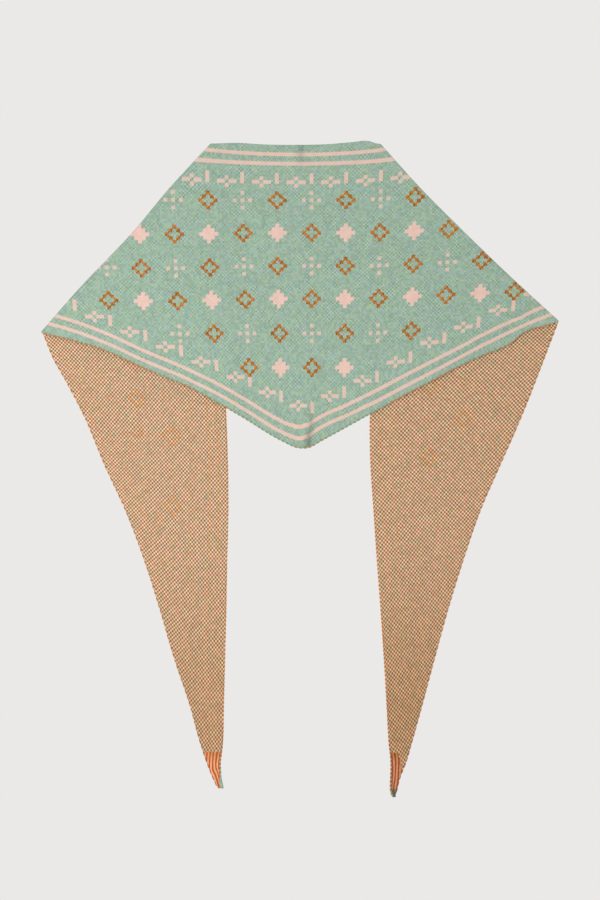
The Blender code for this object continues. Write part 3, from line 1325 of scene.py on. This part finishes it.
@dataclass
class Middle:
    """The face-up stretch, from the neck edge to the hem, with both turned folds.

    The crease from storing the shawl folded in half is given as Y, X and rise. Beside it the cloth has
    painted shade, darker on the crease's shadow side: that is given as Y, X, half its width and how
    dark.
    """

    knit: Knit = field(default_factory=Knit)
    hem: Hem = field(default_factory=Hem)
    neck: Table = (
        (-80, 407.5), (-45, 405.6), (0, 405.0), (35, 406.0), (66, 408.5), (84, 409.9),
    )
    rows: int = 118
    columns: int = 190
    bend: int = 14
    legs: int = 3
    depth: float = 300.0
    gather: float = math.pi / 2 * 0.6
    crease: Table = (
        (20, 3, 2.2), (45, 7, 2.0), (68, 12, 1.2), (150, 9, 0.35), (370, -1, 0.35), (405, -3.5, 1.3),
    )
    crease_width: float = 6.5
    crease_shade: Table = (
        (20, 10, 5.0, 1.0), (42, 11, 4.5, 1.0), (52, 13.5, 3.5, 0.75), (61, 14, 2.5, 0.7),
        (72, 13.5, 1.8, 0.4), (86, 14.5, 1.8, 0.15), (110, 14.5, 1.8, 0.0), (375, 0, 4.0, 0.0),
        (390, 0.5, 4.5, 0.5), (405, 0.5, 4.5, 0.6),
    )
    wave: float = 0.45
    bead: Bead = Bead(5.8, 3.6, 2.7, depth=0.6)
    cut: tuple[float, float] = (0.647, 0.384)
    cut_area: float = 0.149

    def lift(self, flat: np.ndarray, tails: Sequence[Tail]) -> np.ndarray:
        """Finds the height of the middle of the wall.

        Args:
            flat: Points of the plane.
            tails: Both tails, over which the middle lies.

        Returns:
            A height for each point.
        """
        knit = self.knit
        x, y = flat[..., 0], flat[..., 1]
        beyond = np.full(x.shape, np.inf)
        rise = np.zeros(x.shape)
        for tail in tails:
            edge, _ = tail.edges(np.linspace(0, 1, 200))
            inner = np.interp(y, edge[::-1, 1], edge[::-1, 0])
            beyond = np.minimum(beyond, (x - inner) * tail.end.inward)
            rise += 1 - eased((tail.fold.distance(flat) - knit.reach) / knit.fold_ease)
        over = 1 - eased((beyond - knit.step_start) / knit.step_length)
        top = 2 * knit.fold_radius - knit.layer
        crease_x, crease_rise = read(self.crease, y)
        crease = hump(x - crease_x, 0, self.crease_width) * crease_rise
        wave = self.wave * (1 + np.sin(x / 31 + y / 47) * np.cos(y / 39 - x / 83)) * (1 - rise.clip(0, 1))
        return knit.wall / 2 + knit.layer * over + top * rise + crease + wave

    def side(self, fold: Fold, down: np.ndarray) -> list[np.ndarray]:
        """Lays out the leg under one fold and the turn.

        Args:
            fold: The fold.
            down: Where along the fold each row lies.

        Returns:
            Its points, the way out at each, and each laid flat in the plane of the middle.
        """
        knit = self.knit
        columns = []
        for in_by in np.linspace(knit.tuck, knit.reach, self.legs + 1)[:-1]:
            points = spatial(fold.under(down, in_by), knit.wall / 2)
            flat = fold.unfolded(down, -fold.cloth_to(in_by))
            columns.append((points, np.broadcast_to(-UP, points.shape), flat))
        for angle in np.linspace(-math.pi / 2, math.pi / 2, self.bend + 1):
            columns.append((*fold.turned(down, angle), fold.unfolded(down, angle * knit.fold_radius)))
        return [np.stack(parts, axis=1) for parts in zip(*columns)]

    def sheet(self, tails: Sequence[Tail]) -> Sheet:
        """Lays out the stretch.

        Args:
            tails: Both tails, left first.

        Returns:
            Its grid.
        """
        knit = self.knit
        down = lines(self.rows, self.depth, knit.rim)
        sides = [self.side(tail.fold, down) for tail in tails]
        left, right = (side[0][:, -1, :2] for side in sides)
        even = np.linspace(-1, 1, self.columns + 1)
        across = 0.5 + 0.5 * np.sin(even * self.gather) / math.sin(self.gather)
        neck = curve([left[0], *self.neck, right[0]], across)
        hem = curve([left[-1], *self.hem.points, right[-1]], across)
        u, v = across[None, :, None], down[:, None, None]
        ends = (1 - v) * ((1 - u) * neck[0] + u * neck[-1]) + v * ((1 - u) * hem[0] + u * hem[-1])
        flat = (1 - v) * neck[None] + v * hem[None] + (1 - u) * left[:, None] + u * right[:, None] - ends
        flat = flat[:, 1:-1]
        panel = spatial(flat, self.lift(flat, tails))
        panels = (panel, np.broadcast_to(UP, panel.shape), flat)
        middle, out, unfolded = (
            np.concatenate([first, between, last[:, ::-1]], axis=1)
            for first, between, last in zip(sides[0], panels, sides[1])
        )
        stitch = StitchMap(self.hem, self.hem.run_on(hem)).at(unfolded)
        walls = np.broadcast_to(knit.thinned(len(down))[:, None], middle.shape[:2])
        # Painted shade beside the crease, carried to the face's finish as the first number of lie, below 0
        shade_x, shade_width, dark = read(self.crease_shade, middle[..., 1])
        crease_shade = hump((middle[..., 0] - shade_x) / shade_width, 0, 1) * dark
        lie = np.stack([-crease_shade, np.full(walls.shape, FAR), stitch[..., 1]], axis=-1)
        return Sheet("shawl_middle", knit, middle, out, walls, stitch, lie)

    def hem_line(self, sheet: Sheet) -> np.ndarray:
        """Finds where the hem's edge stitches lie, from one turn to the other."""
        panel = sheet.middle[:, self.legs + self.bend + 1 : -self.legs - self.bend - 1]
        return inset(panel[-1], panel[-1 - len(self.knit.rim)], self.bead.depth)


@dataclass
class Tail:
    """One end, reverse up, from just inside its fold to its curled tip."""

    end: End
    knit: Knit = field(default_factory=Knit)
    rows: int = 190
    tip_rows: int = 60
    columns: int = 60
    curl_columns: int = 10
    length: float = 800.0
    width: float = 100.0
    tip_share: float = 0.9
    curl_arc: float = 7.5
    curl_reach: float = 46.0
    curl_rim: float = 0.87
    wale: float = 2.51
    wale_change: float = 0.0008
    wale_from: float = 400.0
    bend_within: float = 88.0
    least_bend: float = 0.6
    rise_at_edge: float = 0.8
    rise_pitch: float = 2.22
    row_pitches: tuple[float, float] = (2.05, 2.45)
    rib_slope: float = 5.0
    wave: float = 0.5
    inner_bead: Bead = Bead(5.1, 3.0, 2.5, depth=1.1)
    outer_bead: Bead = Bead(8.0, 2.6, 2.4, depth=0.6)
    cut: tuple[float, float] = (0.232, 0.8)
    cut_area: float = 0.088

    @property
    def fold(self) -> Fold:
        """The fold that it starts at."""
        return Fold(self.end, self.knit)

    @property
    def start(self) -> float:
        """How far inside the fold's outermost line it starts."""
        return self.knit.tuck + self.knit.seam

    def edges(self, shares: np.ndarray) -> tuple[np.ndarray, np.ndarray]:
        """Follows both edges from the fold to the tip.

        Args:
            shares: How far down each edge.

        Returns:
            Points of the inner and of the outer edge.
        """
        start = self.fold.under(np.array((0.0, 1.0)), self.start)
        inner = [start[0], *((x, y) for y, _, x in self.end.stations)]
        outer = [start[1], *((x, y) for y, x, _ in self.end.stations)]
        return curve(inner, shares), curve(outer, shares)

    def lean(self, y: np.ndarray, from_edge: np.ndarray) -> np.ndarray:
        """Says how far a wale has risen on its way out from the inner edge.

        Args:
            y: The height in Y.
            from_edge: The distance from the inner edge.

        Returns:
            The rise.
        """
        straight, straight_change, bend, bend_change = self.end.lean
        within = self.bend_within
        near = np.minimum(from_edge, within)
        bent = np.maximum(bend + bend_change * y, bend * self.least_bend)
        bent = bent * (near * near / 2 + within * (from_edge - near))
        return bent + np.maximum(straight + straight_change * y, straight) * from_edge

    def distances(
        self, middle: np.ndarray, inner: np.ndarray, outer: np.ndarray
    ) -> tuple[np.ndarray, np.ndarray]:
        """Measures straight across to the inner edge and to the outer one.

        Args:
            middle: The points.
            inner: The inner edge.
            outer: The outer edge.

        Returns:
            Both distances.
        """
        x, y = middle[..., 0], middle[..., 1]
        found = []
        for edge, way in ((inner, self.end.inward), (outer, -self.end.inward)):
            line = edge[::-1]
            slope = np.interp(y, line[:, 1], np.gradient(line[:, 0], line[:, 1]))
            found.append((np.interp(y, line[:, 1], line[:, 0]) - x) * way / np.hypot(1, slope))
        return found[0], found[1]

    def stitches(self, points: np.ndarray, from_edge: np.ndarray, from_hem: np.ndarray) -> np.ndarray:
        """Counts the wale, the row and the rise from the outer edge.

        Args:
            points: Points of the tail.
            from_edge: Their distance from the inner edge along the cloth.
            from_hem: Their distance from the outer edge.

        Returns:
            Three numbers for each point.
        """
        y = points[..., 1] - self.lean(points[..., 1], from_edge)
        here, there = (self.wale - self.wale_change * at for at in (y, self.wale_from))
        run = np.log(here / there) / self.wale_change
        wale = self.end.first_wale - self.end.inward * run
        row = (from_edge - self.end.figure_from) / self.end.figure_row
        return np.stack([wale, row, self.rise_at_edge + from_hem / self.rise_pitch], axis=-1)

    def section(
        self, inner: np.ndarray, outer: np.ndarray, angle: float
    ) -> tuple[np.ndarray, np.ndarray, np.ndarray, float]:
        """Lays one row of points across the tail.

        Args:
            inner: Where the curled edge is seen to end.
            outer: The other edge.
            angle: How far the edge curls.

        Returns:
            The points, the way out at each, how far each point of the curl lies from the edge along the
            cloth, and how much more cloth there is up to the flat part than is seen.
        """
        knit = self.knit
        width = np.linalg.norm(outer - inner)
        across = (outer - inner) / width
        radius = self.curl_arc / angle
        turned, stands_out = math.sin(min(angle, math.pi / 2)), radius + knit.wall / 2
        start = inner + across * turned * stands_out
        rim = 1 - np.array(knit.rim[:-1]) / self.curl_arc
        turns = angle * np.concatenate([rim, np.linspace(self.curl_rim, 0, self.curl_columns)])[:, None]
        curled = spatial(start - across * radius * np.sin(turns), knit.wall / 2)
        curled[:, 2:] += radius * (1 - np.cos(turns))
        way = np.concatenate([-across * np.sin(turns), -np.cos(turns)], axis=1)
        own = lines(self.columns, self.width, knit.rim)[1:]
        own = own[own > 2 / self.width]
        plain = spatial(start + (outer - start) * own[:, None], knit.wall / 2)
        along = self.curl_arc * (1 - turns[:, 0] / angle) * abs(across[0])
        out = np.concatenate([way, np.broadcast_to(-UP, plain.shape)])
        return np.concatenate([curled, plain]), out, along, self.curl_arc - turned * stands_out

    def sheet(self) -> Sheet:
        """Lays out the tail.

        Returns:
            Its grid.
        """
        knit = self.knit
        long_part = np.linspace(0, self.tip_share, self.rows, endpoint=False)
        tip = np.linspace(self.tip_share, 1, self.tip_rows)
        close = 1 - np.array(knit.rim[1:]) / self.length
        shares = np.concatenate([long_part, tip[:-1], close[::-1], [1.0]])
        inner, outer = self.edges(shares)
        to_tip = np.linalg.norm(inner - inner[-1], axis=-1)
        angles = np.maximum(self.end.curl * eased(1 - to_tip / self.curl_reach), 1e-3)
        rows = [self.section(*row) for row in zip(inner, outer, angles)]
        middle, out, curled_edge, hidden = (np.array(parts) for parts in zip(*rows))
        self.bow(middle, inner, outer, shares)
        from_edge, from_hem = self.distances(middle, inner, outer)
        from_edge += hidden[:, None]
        from_edge[:, : curled_edge.shape[1]] = curled_edge
        middle[..., 2] += self.ripple(middle)
        stitch = self.joined(self.stitches(middle, from_edge, from_hem), middle, inner, outer, shares)
        count, columns = middle.shape[:2]
        walls = knit.thinned(count, both=False)[:, None] * knit.thinned(columns)
        end, y = self.end, middle[..., 1]
        past = end.ribs_from - y - self.rib_slope * np.maximum(from_edge - end.ribs_to, 0)
        pitch = np.clip(end.row_at_hem + end.row_change * y, *self.row_pitches)
        lie = np.stack([from_edge, past, from_edge / pitch], axis=-1)
        return Sheet(f"shawl_tail_{self.end.side.value}", knit, middle, out, walls, stitch, lie)

    def placed(self, points: np.ndarray, inner: np.ndarray, outer: np.ndarray) -> np.ndarray:
        """Says how far across from the inner to the outer edge points lie, from 0 to 1."""
        width = np.linalg.norm(outer - inner)
        return np.clip((points[:, :2] - inner) @ ((outer - inner) / width) / width, 0, 1)

    def bow(self, middle: np.ndarray, inner: np.ndarray, outer: np.ndarray, shares: np.ndarray) -> None:
        """Bows the rows near the fold as the fold itself is bowed.

        Args:
            middle: The points, which are moved.
            inner: The inner edge.
            outer: The outer edge.
            shares: How far down the tail each row lies.
        """
        for points, first, last, share in zip(middle, inner, outer, shares):
            placed = self.placed(points, first, last)
            straight = inner[0] + (outer[0] - inner[0]) * placed[:, None]
            points[:, :2] += (self.fold.under(placed, self.start) - straight) * (1 - share) ** 3

    def joined(
        self,
        stitch: np.ndarray,
        middle: np.ndarray,
        inner: np.ndarray,
        outer: np.ndarray,
        shares: np.ndarray,
    ) -> np.ndarray:
        """Lets the count of stitches run on from the turned leg of the middle.

        Args:
            stitch: The tail's own count.
            middle: Its points.
            inner: Its inner edge.
            outer: Its outer edge.
            shares: How far down the tail each row lies.

        Returns:
            The count, corrected near the fold.
        """
        placed = self.placed(middle[0], inner[0], outer[0])
        flat = self.fold.unfolded(placed, -self.fold.cloth_to(self.start))
        hem = Hem()
        wanted = StitchMap(hem, hem.run_on(hem.points)).at(flat)
        fade = (1 - shares) ** 9
        return stitch + (wanted - stitch[0])[None] * fade[:, None, None]

    def ripple(self, middle: np.ndarray) -> np.ndarray:
        """Lets the free part of the tail lie in low waves, clear of the middle that covers it.

        Args:
            middle: Its points.

        Returns:
            The height of the waves at each.
        """
        x, y = middle[..., 0], middle[..., 1]
        # The waves begin just above the hem's lowest point and end before the tip
        free = eased((150 - y) / 120 - 0.6) * eased((y + 395) / 60)
        wave = 0.5 + 0.5 * np.sin(y / 23 + x / 41) * np.cos(x / 37 - y / 71)
        crease = 0.7 * hump(y - 0.08 * x, self.end.crease_y, 7)
        return free * (self.wave * wave + crease)

    def edge_lines(self, sheet: Sheet) -> tuple[np.ndarray, np.ndarray]:
        """Finds where the stitches of the inner and of the outer edge lie.

        Args:
            sheet: The tail's grid.

        Returns:
            Both lines.
        """
        points, inside = sheet.middle, len(self.knit.rim)
        inner = inset(points[:, 0], points[:, inside], self.inner_bead.depth)
        return inner, inset(points[:, -1], points[:, -1 - inside], self.outer_bead.depth)


@dataclass(frozen=True)
class Studio:
    """The pale floor, the soft light from the left and the camera straight above."""

    view_height: float = 1.125
    distance: float = 5.0
    sensor: float = 24.0
    far: float = 100.0
    aim_y: float = 0.02375
    floor: Colour = (234, 233, 231)
    floor_size: float = 40.0
    floor_drop: float = 0.0003
    key_at: tuple[float, float, float] = (-0.45, 0.0, 0.85)
    key_aim: tuple[float, float, float] = (-0.12, 0.0, 0.0)
    key_size: float = 0.4
    key_power: float = 2.5

    def build(self) -> None:
        """Sets up the floor, the lights and the camera."""
        self.ground()
        self.lights()
        self.camera()

    def ground(self) -> None:
        """Lays the floor, which glows evenly as a backdrop does."""
        deselected()
        bpy.ops.mesh.primitive_plane_add(size=self.floor_size, location=(0, 0, -self.floor_drop))
        made = bpy.context.object
        made.name = "floor"
        dye = Dye("pale floor")
        shader = dye.node("ShaderNodeEmission", {}, {"Color": self.floor, "Strength": 1.0})
        dye.tree.links.new(shader.outputs[0], dye.output.inputs["Surface"])
        made.data.materials.append(dye.material)

    def lights(self) -> None:
        """Lights the room evenly, with a soft key light from the left."""
        world = bpy.data.worlds.new("room")
        world.use_nodes = True
        background = world.node_tree.nodes["Background"]
        background.inputs["Color"].default_value = (*dyed(*self.floor), 1.0)
        background.inputs["Strength"].default_value = 1.0
        bpy.context.scene.world = world
        deselected()
        bpy.ops.object.light_add(type="AREA", location=self.key_at)
        key = bpy.context.object
        key.name = "key_light"
        way = Vector(self.key_aim) - key.location
        key.rotation_euler = way.to_track_quat("-Z", "Y").to_euler()
        key.data.shape = "DISK"
        key.data.size = self.key_size
        key.data.energy = self.key_power
        key.visible_camera = False

    def camera(self) -> None:
        """Hangs the camera above the middle of the picture, looking straight down."""
        deselected()
        bpy.ops.object.camera_add(location=(0, self.aim_y, self.distance), rotation=(0, 0, 0))
        made = bpy.context.object
        made.data.sensor_fit = "VERTICAL"
        made.data.sensor_height = self.sensor
        made.data.lens = self.sensor * self.distance / self.view_height
        made.data.clip_end = self.far
        bpy.context.scene.camera = made
        bpy.context.scene.view_settings.view_transform = "Standard"


@dataclass
class Shawl:
    """The whole shawl."""

    yarns: Yarns = field(default_factory=Yarns)
    middle: Middle = field(default_factory=Middle)
    tails: tuple[Tail, Tail] = field(default_factory=lambda: (Tail(LEFT), Tail(RIGHT)))

    def build(self) -> None:
        """Builds and dresses each piece, and attaches it to the root body."""
        yarns = self.yarns
        finishes = {
            Layer.FACE: KnitFace(yarns).material(),
            Layer.REVERSE: KnitReverse(yarns).material(),
            Layer.RIM: KnitRim(yarns).material(),
        }
        hem_yarn = EdgeYarn("edge yarn of the hem", *yarns.hem, more=0.5).material()
        inner_yarn = EdgeYarn("edge yarn of the neck side", *yarns.neck_side).material()
        outer_yarn = EdgeYarn("edge yarn of the tails", *yarns.slope).material()
        tails = [self.tail(tail, finishes, inner_yarn, outer_yarn) for tail in self.tails]
        middle = self.middle
        sheet = middle.sheet(self.tails)
        made = sheet.build(finishes)
        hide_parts("middle")
        edge = self.edging(f"{made.name}_hem", middle.hem_line(sheet), middle.bead, hem_yarn)
        self.declare(made)

    def tail(
        self,
        tail: Tail,
        finishes: Mapping[Layer, bpy.types.Material],
        inner_yarn: bpy.types.Material,
        outer_yarn: bpy.types.Material,
    ) -> bpy.types.Object:
        """Builds one tail with its two edges.

        Args:
            tail: Its sizes.
            finishes: The material of each layer.
            inner_yarn: The material of its inner edge stitches.
            outer_yarn: The material of its outer edge stitches.

        Returns:
            The tail.
        """
        sheet = tail.sheet()
        made = sheet.build(finishes)
        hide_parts(f"tail_{tail.end.side.value}")
        inner_line, outer_line = tail.edge_lines(sheet)
        inner = self.edging(f"{made.name}_inner", inner_line, tail.inner_bead, inner_yarn)
        outer = self.edging(f"{made.name}_outer", outer_line, tail.outer_bead, outer_yarn)
        self.declare(made)
        return made

    def edging(
        self, name: str, line: np.ndarray, bead: Bead, yarn: bpy.types.Material
    ) -> bpy.types.Object:
        """Lays a row of edge stitches along an edge.

        Args:
            name: The piece's name.
            line: Where they lie, in millimetres.
            bead: A stitch's sizes.
            yarn: Its material.

        Returns:
            The row of stitches.
        """
        made = EdgeStitches(name, bead).build(line, yarn)
        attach(made, "root")
        log.info("%s: %d faces", name, len(made.data.polygons))
        return made

    def declare(
        self,
        made: bpy.types.Object,
    ) -> None:
        """Attaches a sheet of the shawl to the root body and logs its faces.

        Args:
            made: The sheet.
        """
        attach(made, "root")
        log.info("%s: %d faces", made.name, len(made.data.polygons))


def main() -> None:
    """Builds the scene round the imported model."""
    logging.basicConfig(level=logging.INFO, format="%(message)s")
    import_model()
    Studio().build()
    Shawl().build()
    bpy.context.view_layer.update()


if __name__ == "__main__":
    main()
